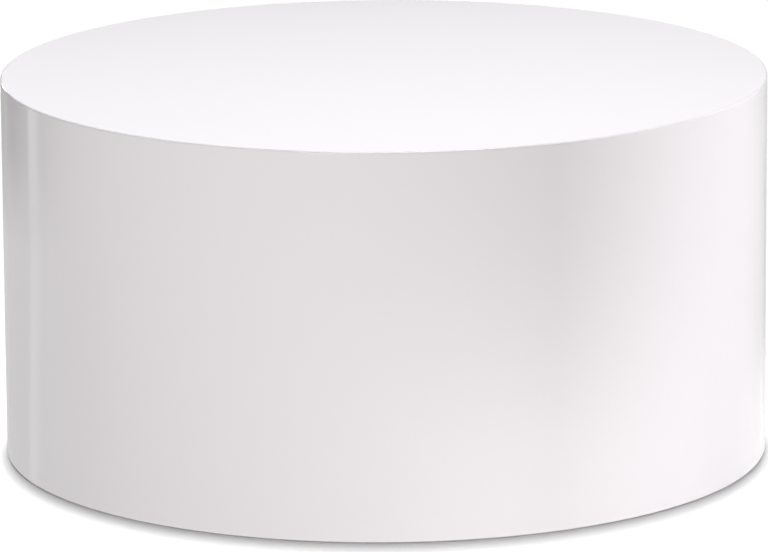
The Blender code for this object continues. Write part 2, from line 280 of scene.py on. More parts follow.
# Medium density fibreboard: pressed wood fibre, tan with short darker fibres, matt.  Its faces are
# sanded smooth; where it has been routed the loose core shows paler and furry.
def fibreboard(name, face_colour, fibre_colour, fur):
    material, tree, shader = new_material(name)
    place = add(tree, "ShaderNodeTexCoord").outputs["Object"]
    stretch = add(tree, "ShaderNodeMapping", {"Vector": place, "Scale": (1.0, 1.6, 2.2)}).outputs[0]
    fibre = {"Vector": stretch, "Scale": 1 / (1.6 * MM), "Detail": 4.0, "Roughness": 0.65}
    fibres = add(tree, "ShaderNodeTexNoise", fibre).outputs[0]
    cloud = {"Vector": place, "Scale": 1 / (70 * MM), "Detail": 2.0}
    clouds = add(tree, "ShaderNodeTexNoise", cloud).outputs[0]
    part = {"Value": fibres, "From Min": 0.42, "From Max": 0.72, "To Min": 0.0, "To Max": 0.8}
    mask = add(tree, "ShaderNodeMapRange", part).outputs[0]
    shades = {SHARE: mask, FIRST: linear(face_colour), SECOND: linear(fibre_colour)}
    colour = add(tree, "ShaderNodeMix", shades, data_type="RGBA").outputs[MIXED]
    level = {"Value": clouds, "From Min": 0.3, "From Max": 0.7, "To Min": 0.9, "To Max": 1.08}
    tone = add(tree, "ShaderNodeMapRange", level).outputs[0]
    toned = add(tree, "ShaderNodeHueSaturation", {"Value": tone, "Color": colour}).outputs[0]
    dull = {"Value": fibres, "From Min": 0.3, "From Max": 0.7, "To Min": 0.72, "To Max": 0.92}
    bump = {"Height": fibres, "Strength": 0.6, "Distance": fur}
    feed(tree, shader["Base Color"], toned)
    feed(tree, shader["Roughness"], add(tree, "ShaderNodeMapRange", dull).outputs[0])
    feed(tree, shader["Normal"], add(tree, "ShaderNodeBump", bump).outputs[0])
    return material


sanded_fibreboard = fibreboard("sanded_fibreboard", "#B4936A", "#94724A", 0.05 * MM)
routed_fibreboard = fibreboard("routed_fibreboard", "#BE9F78", "#8E6A43", 0.15 * MM)

base_low, base_high = span(node_points("base_ring")[:, 2])
flat, quads = ring_layout(foot_angles, INSERT_RADIUS + HOLE_PLAY)
points, faces, kinds = slab([at_height(flat, base_low), at_height(flat, base_high)], quads)
base_ring = make_piece("lower_ring", points, faces, [sanded_fibreboard, routed_fibreboard], kinds)
soften(base_ring, ROUTED_ARRIS)
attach(base_ring, "table")
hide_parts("base_ring")

ring_low, ring_high = span(node_points("top_ring")[:, 2])
head_mouth = SCREW_HEAD_RADIUS + HOLE_PLAY
shank_hole = SCREW_RADIUS + HOLE_PLAY
head_seat = ring_low + SCREW_SINK
bore = [(ring_low, head_mouth), (head_seat, head_mouth)]
bore += [(head_seat + head_mouth - shank_hole, shank_hole), (ring_high, shank_hole)]
layers = []
for z, radius in bore:
    flat, quads = ring_layout(screw_angles, radius)
    layers.append(at_height(flat, z))
points, faces, kinds = slab(layers, quads)
top_ring = make_piece("upper_ring", points, faces, [sanded_fibreboard, routed_fibreboard], kinds)
soften(top_ring, ROUTED_ARRIS)
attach(top_ring, "table")
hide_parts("top_ring")


# Ribs
# Eight upright boards cut from 18 mm birch plywood, set edge on to the wall.  The tab at each end is
# glued into a ring's slot, and the shoulders beside it keep the rings apart.

PLY_COUNT = 13
RIB_ARRIS = 0.4 * MM
PLY_MARGIN = 1.01
GRAIN_SHIFT = 0.7


def piece_points(piece):
    """A piece's points after welding, one row each."""
    points = np.empty(len(piece.data.vertices) * 3, np.float32)
    piece.data.vertices.foreach_get("co", points)
    return points.reshape(-1, 3)


def board_coordinates(piece, across, through, along):
    """Keeps each point's place in its own board, for the plies and the grain to follow."""
    board = piece.data.attributes.new("board", "FLOAT_VECTOR", "POINT")
    board.data.foreach_set("vector", np.stack([across, through, along], -1).astype(np.float32).ravel())


# Birch plywood: pale rotary-cut veneers, long grain and end grain by turns, so the sawn edges show
# light and dark plies with thin glue lines and the faces a soft straight figure.  The plies are counted
# over a hair more than the thickness, so that the faces lie within the outer ones.
def plywood(name, thickness, plies):
    material, tree, shader = new_material(name)
    board = add(tree, "ShaderNodeAttribute", attribute_name="board").outputs["Vector"]
    through = add(tree, "ShaderNodeSeparateXYZ", {0: board}).outputs["Y"]
    count = {0: through, 1: plies / (thickness * PLY_MARGIN), 2: plies / 2}
    ply = add(tree, "ShaderNodeMath", count, operation="MULTIPLY_ADD").outputs[0]
    whole = add(tree, "ShaderNodeMath", {0: ply}, operation="FLOOR").outputs[0]
    cross = add(tree, "ShaderNodeMath", {0: whole, 1: 2.0}, operation="FLOORED_MODULO").outputs[0]
    edge = add(tree, "ShaderNodeMath", {0: ply, 1: 0.5}, operation="PINGPONG").outputs[0]
    glue = {"Value": edge, "From Min": 0.03, "From Max": 0.09, "To Min": 0.55, "To Max": 0.0}
    glue_line = add(tree, "ShaderNodeMapRange", glue).outputs[0]
    along = {"Vector": board, "Scale": (1.0, 1.0, 0.035)}
    figure = add(tree, "ShaderNodeMapping", along).outputs[0]
    streak = {"Vector": figure, "Scale": 1 / (3.5 * MM), "Detail": 5.0, "Roughness": 0.6}
    streaks = add(tree, "ShaderNodeTexNoise", streak).outputs[0]
    pore = {"Vector": board, "Scale": 1 / (0.9 * MM), "Detail": 2.0}
    pores = add(tree, "ShaderNodeTexNoise", pore).outputs[0]
    part = {"Value": streaks, "From Min": 0.35, "From Max": 0.7, "To Min": 0.0, "To Max": 1.0}
    mask = add(tree, "ShaderNodeMapRange", part).outputs[0]
    long_shades = {SHARE: mask, FIRST: linear("#E2C89E"), SECOND: linear("#CBA673")}
    long_grain = add(tree, "ShaderNodeMix", long_shades, data_type="RGBA").outputs[MIXED]
    end_shades = {SHARE: pores, FIRST: linear("#BE9563"), SECOND: linear("#9D7343")}
    end_grain = add(tree, "ShaderNodeMix", end_shades, data_type="RGBA").outputs[MIXED]
    layered = {SHARE: cross, FIRST: long_grain, SECOND: end_grain}
    plies_shown = add(tree, "ShaderNodeMix", layered, data_type="RGBA").outputs[MIXED]
    glued = {SHARE: glue_line, FIRST: plies_shown, SECOND: linear("#5E4026")}
    colour = add(tree, "ShaderNodeMix", glued, data_type="RGBA").outputs[MIXED]
    dull = {"Value": pores, "From Min": 0.3, "From Max": 0.7, "To Min": 0.55, "To Max": 0.75}
    bump = {"Height": streaks, "Strength": 0.4, "Distance": 0.08 * MM}
    feed(tree, shader["Base Color"], colour)
    feed(tree, shader["Roughness"], add(tree, "ShaderNodeMapRange", dull).outputs[0])
    feed(tree, shader["Normal"], add(tree, "ShaderNodeBump", bump).outputs[0])
    return material


birch_plywood = plywood("birch_plywood", rib_width, PLY_COUNT)

middle_depth = sum(rib_depth) / 2
depth_lines = np.array([rib_depth[0], tab_depth[0], tab_depth[1], rib_depth[1]]) - middle_depth
grid_x, grid_z = np.meshgrid(depth_lines, rib_levels, indexing="ij")
index = np.arange(grid_x.size).reshape(grid_x.shape)
cells = np.stack([index[:-1, :-1], index[:-1, 1:], index[1:, 1:], index[1:, :-1]], -1)
is_board = np.array([[False, True, False], [True, True, True], [False, True, False]])
outline = np.column_stack([grid_x.ravel(), np.zeros(grid_x.size), grid_z.ravel()])
sides = [outline + [0, y, 0] for y in (-rib_width / 2, rib_width / 2)]
local, faces, _ = slab(sides, cells[is_board])
for i, angle in enumerate(rib_angles, 1):
    out, round_rim = outward(angle)
    placed = (local[:, :1] + middle_depth) * out + local[:, 1:2] * round_rim + local[:, 2:] * [0, 0, 1]
    rib = make_piece(f"plywood_rib_{i}", placed, faces, [birch_plywood])
    at = piece_points(rib)
    board_coordinates(rib, at @ out - middle_depth, at @ round_rim, at[:, 2] + GRAIN_SHIFT * i)
    soften(rib, RIB_ARRIS)
    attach(rib, "table")
    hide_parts(f"rib_{i}")


# Drum wall
# One 12 mm sheet bent round the rings, its ends butted at the back, filled and sprayed with the top in
# white gloss.  The lacquer runs round the lower edge; inside, only a little overspray reaches the board.

DRUM_SEGMENTS = 576
WALL_FOOT_RADIUS = 0.8 * MM
WALL_INNER_ARRIS = 0.4 * MM
OVERSPRAY_HEIGHT = 14 * MM
OVERSPRAY_SOLID = -8 * MM
OVERSPRAY_DRIFT = 18 * MM
GUARD = 0.15 * MM


def eased(corners, steps=6):
    """An outline of (r, z, radius) corners, with an arc of that radius in each corner that has one: it
    runs between the two points where its circle touches the sides.  A point just outside each end of
    the arc keeps the flat sides shaded flat."""
    corners = np.asarray(corners, float)
    outline = []
    for before, corner, after in zip(np.roll(corners, 1, 0), corners, np.roll(corners, -1, 0)):
        radius = corner[2]
        middle = corner[:2]
        if radius == 0:
            outline.append(middle[None])
            continue
        u = (before[:2] - middle) / np.linalg.norm(before[:2] - middle)
        v = (after[:2] - middle) / np.linalg.norm(after[:2] - middle)
        half = math.acos(np.clip(u @ v, -1, 1)) / 2
        centre = middle + (u + v) / np.linalg.norm(u + v) * radius / math.sin(half)
        touch = radius / math.tan(half)
        share = np.linspace(0, 1, steps + 1)[:, None]
        sweep = math.pi - 2 * half
        first, last = middle + u * touch - centre, middle + v * touch - centre
        bend = (np.sin((1 - share) * sweep) * first + np.sin(share * sweep) * last) / math.sin(sweep)
        guards = [middle + u * (touch + GUARD), middle + v * (touch + GUARD)]
        outline.append(np.concatenate([guards[:1], centre + bend, guards[1:]]))
    return np.concatenate(outline)


def turned(profile, sides):
    """Carries a profile of (r, z) points round the axis: x = r cos a, y = r sin a."""
    a = np.linspace(0, FULL_TURN, sides + 1)
    r, z = profile[:, :1], profile[:, 1:]
    return np.stack([r * np.cos(a), r * np.sin(a), z + 0 * a], -1)


def skin(grid):
    """Quads between neighbouring rows and columns of a grid, which face outwards where the rows run down
    the outside and up the inside."""
    rows, columns = grid.shape[:2]
    index = np.arange(rows * columns).reshape(rows, columns)
    quads = np.stack([index[:-1, :-1], index[1:, :-1], index[1:, 1:], index[:-1, 1:]], -1)
    return grid.reshape(-1, 3), quads.reshape(-1, 4)


# White gloss lacquer: several sprayed coats, rubbed down and polished.  A deep even white with sharp
# reflections, a trace of orange peel in them, and polishing that varies the gloss a little.
white_lacquer, tree, shader = new_material("white_gloss_lacquer")
place = add(tree, "ShaderNodeTexCoord").outputs["Object"]
peel = {"Vector": place, "Scale": 1 / (7 * MM), "Detail": 1.0}
peel_height = add(tree, "ShaderNodeTexNoise", peel).outputs[0]
polish = {"Vector": place, "Scale": 1 / (120 * MM), "Detail": 3.0}
polish_mask = add(tree, "ShaderNodeTexNoise", polish).outputs[0]
gloss = {"Value": polish_mask, "From Min": 0.3, "From Max": 0.7, "To Min": 0.045, "To Max": 0.07}
tint = {SHARE: polish_mask, FIRST: linear("#EBE7E8"), SECOND: linear("#E9E5E6")}
bump = {"Height": peel_height, "Strength": 0.5, "Distance": 0.004 * MM}
feed(tree, shader["Base Color"], add(tree, "ShaderNodeMix", tint, data_type="RGBA").outputs[MIXED])
feed(tree, shader["Roughness"], add(tree, "ShaderNodeMapRange", gloss).outputs[0])
feed(tree, shader["Normal"], add(tree, "ShaderNodeBump", bump).outputs[0])
shader["IOR"].default_value = 1.5

# The board inside, with the white mist that drifts in under the lower edge when the drum is sprayed.
misted_fibreboard = fibreboard("oversprayed_fibreboard", "#B4936A", "#94724A", 0.05 * MM)
tree = misted_fibreboard.node_tree
shader = tree.nodes["Principled BSDF"].inputs
place = add(tree, "ShaderNodeTexCoord").outputs["Object"]
height = add(tree, "ShaderNodeSeparateXYZ", {0: place}).outputs["Z"]
drift = {"Vector": place, "Scale": 1 / (18 * MM), "Detail": 4.0}
drifts = {0: add(tree, "ShaderNodeTexNoise", drift).outputs[0], 1: -OVERSPRAY_DRIFT, 2: height}
above = add(tree, "ShaderNodeMath", drifts, operation="MULTIPLY_ADD").outputs[0]
fade = {"Value": above, "From Min": OVERSPRAY_SOLID, "From Max": OVERSPRAY_HEIGHT,
        "To Min": 0.95, "To Max": 0.0}
bare = shader["Base Color"].links[0].from_socket
mist = add(tree, "ShaderNodeMapRange", fade).outputs[0]
misted = {SHARE: mist, FIRST: bare, SECOND: linear("#E8E3E5")}
feed(tree, shader["Base Color"], add(tree, "ShaderNodeMix", misted, data_type="RGBA").outputs[MIXED])

outer_radius = cad_high.x
table_top = cad_high.z
wall_low, wall_high = span(node_points("drum_wall")[:, 2])
wall_inner = np.hypot(*node_points("drum_wall")[:, :2].T).min()
top_levels = np.unique(node_points("top_panel")[:, 2].round(6))
lip_underside = top_levels[top_levels > wall_high].min()
profile = eased([
    (outer_radius, lip_underside, 0),
    (outer_radius, wall_low, WALL_FOOT_RADIUS),
    (wall_inner, wall_low, WALL_INNER_ARRIS),
    (wall_inner, lip_underside, 0),
    (outer_radius, lip_underside, 0),
])
points, faces = skin(turned(profile, DRUM_SEGMENTS))
inside = profile[:, 0] < wall_inner + WALL_INNER_ARRIS / 2
kinds = (inside[:-1] | inside[1:]).repeat(DRUM_SEGMENTS)
wall = make_piece("lacquered_wall", points, faces, [white_lacquer, misted_fibreboard], kinds)
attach(wall, "table")
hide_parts("drum_wall")


# Seam strip
# A 9 mm strip of birch plywood, bent to the inside of the wall and glued across its butted ends from
# ring to ring, so that they stay flush.

STRIP_PLIES = 7
STRIP_STEPS = 24
strip_points = node_points("seam_strip")
strip_levels = span(strip_points[:, 2])
strip_radii = span(np.hypot(*strip_points[:, :2].T))
strip_angles = span(np.arctan2(strip_points[:, 1], strip_points[:, 0]))
strip_plywood = plywood("bent_plywood", strip_radii[1] - strip_radii[0], STRIP_PLIES)

strip_arc = np.linspace(*strip_angles, STRIP_STEPS + 1)[:, None] + np.zeros(2)
ends = np.zeros((STRIP_STEPS + 1, 1)) + strip_levels
layers = [np.stack([r * np.cos(strip_arc), r * np.sin(strip_arc), ends], -1) for r in strip_radii]
index = np.arange(layers[0].size // 3).reshape(STRIP_STEPS + 1, 2)
cells = np.stack([index[:-1, 0], index[1:, 0], index[1:, 1], index[:-1, 1]], -1)
points, faces, _ = slab([layer.reshape(-1, 3) for layer in layers], cells)
strip = make_piece("seam_backing_strip", points, faces, [strip_plywood])
x, y, z = piece_points(strip).T
reach = np.hypot(x, y)
board_coordinates(strip, np.arctan2(y, x) * reach, reach - sum(strip_radii) / 2, z)
soften(strip, RIB_ARRIS)
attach(strip, "table")
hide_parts("seam_strip")


# Top panel
# A 25 mm fibreboard disc whose lip covers the wall's edge, filled flush with it and sprayed white with
# the wall, so no joint shows.  Its upper edge is eased to a small arris; its underside is left bare.

TOP_EDGE_RADIUS = 2 * MM
TOP_EDGE_STEPS = 14
top_underside = top_levels.min()
rebate_radius = ring_radii[1]
profile = eased([
    (0, table_top, 0),
    (outer_radius, table_top, TOP_EDGE_RADIUS),
    (outer_radius, lip_underside, 0),
    (rebate_radius, lip_underside, 0),
    (rebate_radius, top_underside, ROUTED_ARRIS),
    (0, top_underside, 0),
], steps=TOP_EDGE_STEPS)
points, faces = skin(turned(profile, DRUM_SEGMENTS))
bare_rows = profile[:, 1] < lip_underside + WELD
kinds = (bare_rows[:-1] & bare_rows[1:]).repeat(DRUM_SEGMENTS)
top = make_piece("lacquered_top", points, faces, [white_lacquer, sanded_fibreboard], kinds)
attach(top, "table")
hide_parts("top_panel")


# Top screws
# Eight zinc-plated countersunk wood screws with a cross recess, driven up through the upper ring into
# the top.  The shank is rolled with a coarse thread and ends in a point.

SCREW_SIDES = 64
SCREW_PITCH = 1.8 * MM
SCREW_ROOT = 1.55 * MM
SCREW_TIP = 5 * MM
TIP_BELLY = 0.55, 0.45
SCREW_PLAIN_SHANK = 7 * MM
HEAD_EDGE = 0.12 * MM
RECESS_REACH = 2.5 * MM
RECESS_HALF_WIDTH = 0.5 * MM
RECESS_WALL = 0.15 * MM
RECESS_DEPTH = 2.0 * MM
RECESS_END_SLOPE = 3
RECESS_RISE = 0.6
HEAD_RINGS = 36
THREAD_ROWS = 0.0, 0.125, 0.44, 0.685


def thread(bottom, top, pitch, crest, root, end, sides):
    """A right-hand thread, from the top down: rows climb one pitch a turn, four to a pitch, so that each
    lies on a crest or in a root.  Within a pitch of either end they run out to the radius end, where
    the rows are cut level."""
    a = np.linspace(0, FULL_TURN, sides + 1)
    turns = math.ceil((top - bottom) / pitch) + 2
    rows = (np.arange(turns)[:, None] - 1 + THREAD_ROWS).reshape(-1, 1)
    ridge = np.tile([crest, crest, root, root], turns)[:, None]
    z = np.clip(bottom + pitch * (rows + a / FULL_TURN), bottom, top)
    full = np.clip(np.minimum(z - bottom, top - z) / pitch, 0, 1)
    r = end + (ridge - end) * full
    return np.stack([r * np.cos(a), r * np.sin(a), z], -1)[::-1]


def joined(*surfaces):
    """Several skins as one list of points and quads."""
    starts = np.cumsum([0] + [len(points) for points, _ in surfaces])
    points = np.concatenate([points for points, _ in surfaces])
    return points, np.concatenate([quads + start for (_, quads), start in zip(surfaces, starts)])


def stood(local, angle, radius, height=0.0):
    """Stands a shape that far from the drum's axis and that high, its own X pointing outwards."""
    out, along = outward(angle)
    x, y, z = local.T[:, :, None]
    return (x + radius) * out + y * along + (z + height) * np.array([0, 0, 1])


# Zinc-plated steel: a thin bright plating with a clear passivation, cool grey that turns faintly
# yellow or blue in patches, with a fine satin from the plating bath.
zinc_steel, tree, shader = new_material("zinc_plated_steel")
place = add(tree, "ShaderNodeTexCoord").outputs["Object"]
patch = {"Vector": place, "Scale": 1 / (6 * MM), "Detail": 3.0}
patches = add(tree, "ShaderNodeTexNoise", patch).outputs[0]
tint = {SHARE: patches, FIRST: linear("#C3C9D0"), SECOND: linear("#D2CDBB")}
satin = {"Vector": place, "Scale": 1 / (0.5 * MM), "Detail": 3.0}
satin_height = add(tree, "ShaderNodeTexNoise", satin).outputs[0]
dull = {"Value": satin_height, "From Min": 0.3, "From Max": 0.7, "To Min": 0.24, "To Max": 0.42}
bump = {"Height": satin_height, "Strength": 0.3, "Distance": 0.02 * MM}
feed(tree, shader["Base Color"], add(tree, "ShaderNodeMix", tint, data_type="RGBA").outputs[MIXED])
feed(tree, shader["Roughness"], add(tree, "ShaderNodeMapRange", dull).outputs[0])
feed(tree, shader["Normal"], add(tree, "ShaderNodeBump", bump).outputs[0])
shader["Metallic"].default_value = 1.0

screw_low, screw_high = span(node_points("top_screw_1")[:, 2])
screw_length = screw_high - screw_low
head_height = SCREW_HEAD_RADIUS - SCREW_RADIUS
thread_low = head_height + SCREW_PLAIN_SHANK
thread_high = screw_length - SCREW_TIP
body = turned(np.array([
    (SCREW_ROOT, thread_low),
    (SCREW_RADIUS, thread_low - SCREW_RADIUS + SCREW_ROOT),
    (SCREW_RADIUS, head_height),
    (SCREW_HEAD_RADIUS, HEAD_EDGE),
    (SCREW_HEAD_RADIUS - HEAD_EDGE, 0),
]), SCREW_SIDES)
tip = turned(np.array([
    (0, screw_length),
    (SCREW_ROOT * TIP_BELLY[0], screw_length - SCREW_TIP * TIP_BELLY[1]),
    (SCREW_ROOT, thread_high),
]), SCREW_SIDES)
coil = thread(thread_low, thread_high, SCREW_PITCH, SCREW_RADIUS, SCREW_ROOT, SCREW_ROOT, SCREW_SIDES)

# The recess is cut into the head's face.  Its floor rises along each arm to the steep end, and its depth
# falls off at the arm's walls.
face_radius = np.linspace(SCREW_HEAD_RADIUS - HEAD_EDGE, 0, HEAD_RINGS)[:, None]
face = turned(np.column_stack([face_radius, 0 * face_radius]), SCREW_SIDES)
along_arm = np.abs(face[:, :, :2]).max(-1)
across_arm = np.abs(face[:, :, :2]).min(-1)
arm_taper = np.clip(1 - along_arm / RECESS_REACH, 0, 1)
inside_arm = np.clip((RECESS_HALF_WIDTH - across_arm) / RECESS_WALL, 0, 1)
arm_floor = np.minimum(RECESS_END_SLOPE * arm_taper, 1 - RECESS_RISE + RECESS_RISE * arm_taper)
face[:, :, 2] = RECESS_DEPTH * arm_floor * inside_arm
local, faces = joined(skin(tip), skin(coil), skin(body), skin(face))
for i, angle in enumerate(screw_angles, 1):
    placed = stood(local, angle, hole_middle, screw_low)
    screw = make_piece(f"countersunk_screw_{i}", placed, faces, [zinc_steel])
    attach(screw, "table")
    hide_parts(f"top_screw_{i}")


# Foot inserts
# Flanged steel sleeves, turned and zinc plated, pressed up into the bores of the lower ring: knurled
# outside to grip the board, and tapped M8 right through.

FOOT_SIDES = 64
FOOT_EDGE_STEPS = 4
THREAD_PITCH = 1.25 * MM
THREAD_CREST = 4.0 * MM
THREAD_ROOT = 3.3 * MM
THREAD_PLAY = 0.12 * MM
KNURL_DEPTH = 0.2 * MM
FLANGE_EDGE = 0.4 * MM
insert_points = node_points("foot_insert_1")
insert_low, insert_high = span(insert_points[:, 2])
insert_levels = np.unique(insert_points[:, 2].round(6))
from_bore = insert_points - hole_middle * outward(foot_angles[0])[0]
flange_radius = np.hypot(*from_bore[:, :2].T).max()
bore_mouth = THREAD_CREST + 2 * THREAD_PLAY
profile = eased([
    (bore_mouth, insert_high, 0),
    (INSERT_RADIUS, insert_high, FLANGE_EDGE),
    (INSERT_RADIUS, insert_levels[1], 0),
    (flange_radius, insert_levels[1], FLANGE_EDGE),
    (flange_radius, insert_low, FLANGE_EDGE),
    (bore_mouth, insert_low, 0),
], steps=FOOT_EDGE_STEPS)
outside = turned(profile, FOOT_SIDES)
on_sleeve = np.abs(profile[:, 0] - INSERT_RADIUS) < WELD
ridges = 1 - KNURL_DEPTH / INSERT_RADIUS * (np.arange(FOOT_SIDES + 1) % 2)
outside[on_sleeve, :, :2] *= ridges[:, None]
tapped = thread(insert_low, insert_high, THREAD_PITCH, THREAD_CREST + THREAD_PLAY,
                THREAD_ROOT + THREAD_PLAY, bore_mouth, FOOT_SIDES)[::-1]
local, faces = joined(skin(outside), skin(tapped))
for i, angle in enumerate(foot_angles, 1):
    insert = make_piece(f"threaded_insert_{i}", stood(local, angle, hole_middle), faces, [zinc_steel])
    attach(insert, "table")
    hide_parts(f"foot_insert_{i}")


# Foot studs
# M8 studs turned from hexagon bar and zinc plated: the hexagon is for a spanner, the neck below it
# passes through the glide, and the end is riveted over to hold the glide on.

HEX_ACROSS_FLATS = 13 * MM
HEX_CHAMFER = math.radians(30)
HEX_FACE = 0.94
HEX_CHAMFER_ROWS = 7
NECK_RADIUS = 3 * MM
RIVET_RADIUS = 5.5 * MM
RIVET_EDGE = 0.7 * MM
STUD_CHAMFER = 1 * MM
stud_levels = np.unique(node_points("foot_stud_1")[:, 2].round(6))
rivet_low, rivet_high, hex_low, hex_high = stud_levels[:4]
stud_high = stud_levels[-1]

# The hexagon's ends are turned to a cone, which starts from a round face a little within the flats.
turn = np.linspace(0, FULL_TURN, FOOT_SIDES + 1)
hex_radius = HEX_ACROSS_FLATS / 2 / np.cos(turn % (math.pi / 3) - math.pi / 6)
hex_rise = np.linspace(0, 1, HEX_CHAMFER_ROWS)
chamfer_rise = (hex_radius.max() - HEX_FACE * HEX_ACROSS_FLATS / 2) * math.tan(HEX_CHAMFER)
hex_z = np.concatenate([hex_high - hex_rise * chamfer_rise, hex_low + hex_rise[::-1] * chamfer_rise])
from_face = np.minimum(hex_high - hex_z, hex_z - hex_low)[:, None]
cone = HEX_FACE * HEX_ACROSS_FLATS / 2 + from_face / math.tan(HEX_CHAMFER)
r = np.minimum(hex_radius, cone)
hexagon = np.stack([r * np.cos(turn), r * np.sin(turn), hex_z[:, None] + 0 * turn], -1)
stud_end = turned(np.array([
    (0, stud_high),
    (THREAD_CREST - STUD_CHAMFER, stud_high),
    (THREAD_ROOT, stud_high - STUD_CHAMFER),
]), FOOT_SIDES)
cut_thread = thread(hex_high, stud_high - STUD_CHAMFER, THREAD_PITCH, THREAD_CREST, THREAD_ROOT,
                    THREAD_ROOT, FOOT_SIDES)
upper = np.concatenate([turned(np.array([(THREAD_ROOT, hex_high)]), FOOT_SIDES), hexagon])
rivet = eased([
    (NECK_RADIUS, hex_low, 0),
    (NECK_RADIUS, rivet_high, 0),
    (RIVET_RADIUS, rivet_high, RIVET_EDGE / 2),
    (RIVET_RADIUS, rivet_low + RIVET_EDGE, RIVET_EDGE),
    (0, rivet_low, 0),
], steps=FOOT_EDGE_STEPS)
lower = np.concatenate([hexagon[-1:], turned(rivet, FOOT_SIDES)])
local, faces = joined(skin(stud_end), skin(cut_thread), skin(upper), skin(lower))
for i, angle in enumerate(foot_angles, 1):
    stud = make_piece(f"threaded_stud_{i}", stood(local, angle, hole_middle), faces, [zinc_steel])
    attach(stud, f"stud_{i}")
    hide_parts(f"foot_stud_{i}")


# Foot glides
# Round feet injection moulded in black nylon, counterbored underneath for the stud's riveted end.  They
# turn freely on the neck, so that the foot can be screwed out under the table's weight.

GLIDE_RIM_EDGE = 0.8 * MM
GLIDE_HUB_EDGE = 1 * MM
GLIDE_BORE_EDGE = 0.3 * MM
glide_points = node_points("foot_glide_1") - hole_middle * outward(foot_angles[0])[0]
glide_levels = np.unique(glide_points[:, 2].round(6))
glide_low, chamfer_high, counterbore_high, rim_high, hub_high = glide_levels
glide_reach = np.hypot(*glide_points[:, :2].T)
glide_radius = glide_reach.max()
glide_chamfer = chamfer_high - glide_low
hub_radius = glide_reach[glide_points[:, 2] > hub_high - WELD].max()
bore_radius = glide_reach.min()
counterbore_radius = glide_reach[glide_points[:, 2] < glide_low + WELD].min()

# Black nylon: carbon-filled and injection moulded, a deep neutral black with the fine even
# spark-eroded grain of the mould and a soft sheen.
black_nylon, tree, shader = new_material("moulded_black_nylon")
place = add(tree, "ShaderNodeTexCoord").outputs["Object"]
grain = {"Vector": place, "Scale": 1 / (0.45 * MM), "Detail": 2.0}
grain_height = add(tree, "ShaderNodeTexNoise", grain).outputs[0]
tint = {SHARE: grain_height, FIRST: linear("#141516"), SECOND: linear("#1E1F21")}
sheen = {"Value": grain_height, "From Min": 0.3, "From Max": 0.7, "To Min": 0.4, "To Max": 0.55}
bump = {"Height": grain_height, "Strength": 0.4, "Distance": 0.03 * MM}
feed(tree, shader["Base Color"], add(tree, "ShaderNodeMix", tint, data_type="RGBA").outputs[MIXED])
feed(tree, shader["Roughness"], add(tree, "ShaderNodeMapRange", sheen).outputs[0])
feed(tree, shader["Normal"], add(tree, "ShaderNodeBump", bump).outputs[0])
shader["IOR"].default_value = 1.53

profile = eased([
    (bore_radius, hub_high, GLIDE_BORE_EDGE),
    (hub_radius, hub_high, GLIDE_HUB_EDGE),
    (glide_radius, rim_high, GLIDE_RIM_EDGE),
    (glide_radius, chamfer_high, GLIDE_RIM_EDGE / 2),
    (glide_radius - glide_chamfer, glide_low, GLIDE_RIM_EDGE / 2),
    (counterbore_radius, glide_low, GLIDE_BORE_EDGE),
    (counterbore_radius, counterbore_high, GLIDE_BORE_EDGE),
    (bore_radius, counterbore_high, GLIDE_BORE_EDGE),
], steps=FOOT_EDGE_STEPS)
local, faces = skin(turned(np.concatenate([profile, profile[:1]]), FOOT_SIDES))
for i, angle in enumerate(foot_angles, 1):
    glide = make_piece(f"nylon_glide_{i}", stood(local, angle, hole_middle), faces, [black_nylon])
    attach(glide, f"glide_{i}")
    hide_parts(f"foot_glide_{i}")


# Camera
# Fitted to the photograph's rim, sides and base line: a long lens seven metres off, a little above the
# table and looking down on it.

CAMERA_PLACE = Vector((0, -6.9952, 1.8168))
CAMERA_PAN = math.radians(-0.010)
CAMERA_PITCH = math.radians(13.161)
CAMERA_ROLL = math.radians(-0.392)
CAMERA_LENS_MM = 320.19
CAMERA_REACH = 1000
SENSOR_WIDTH_MM = 36
scene = bpy.context.scene
data = bpy.data.cameras.new("camera")
data.lens = CAMERA_LENS_MM
data.sensor_width = SENSOR_WIDTH_MM
data.clip_end = CAMERA_REACH
camera = bpy.data.objects.new("camera", data)
level = Matrix.Rotation(-CAMERA_PAN, 4, "Z") @ Matrix.Rotation(math.pi / 2 - CAMERA_PITCH, 4, "X")
camera.matrix_world = Matrix.Translation(CAMERA_PLACE) @ level @ Matrix.Rotation(CAMERA_ROLL, 4, "Z")
scene.collection.objects.link(camera)
scene.camera = camera


# Studio
# A seamless white floor under a strip bank of its own, so that it burns out to white with only a short
# shadow, soft lights that reach the table alone, and boards that only the gloss sees.

FLOOR_HALF = 200.0
FLOOR_LIGHT = 1.12
SKY_LIGHT = 0.05
GLOSS_LIGHT = 0.44
SHADE_WIDTH = 2.5 * MM
SHADE_DEPTH = 0.2 * MM
LIGHT_AIM = Vector((0, 0, 0.2))
LOW_AIM = Vector((0, 0, 0.03))
COOL = "#FBFBFF"
scene.view_settings.view_transform = "Standard"

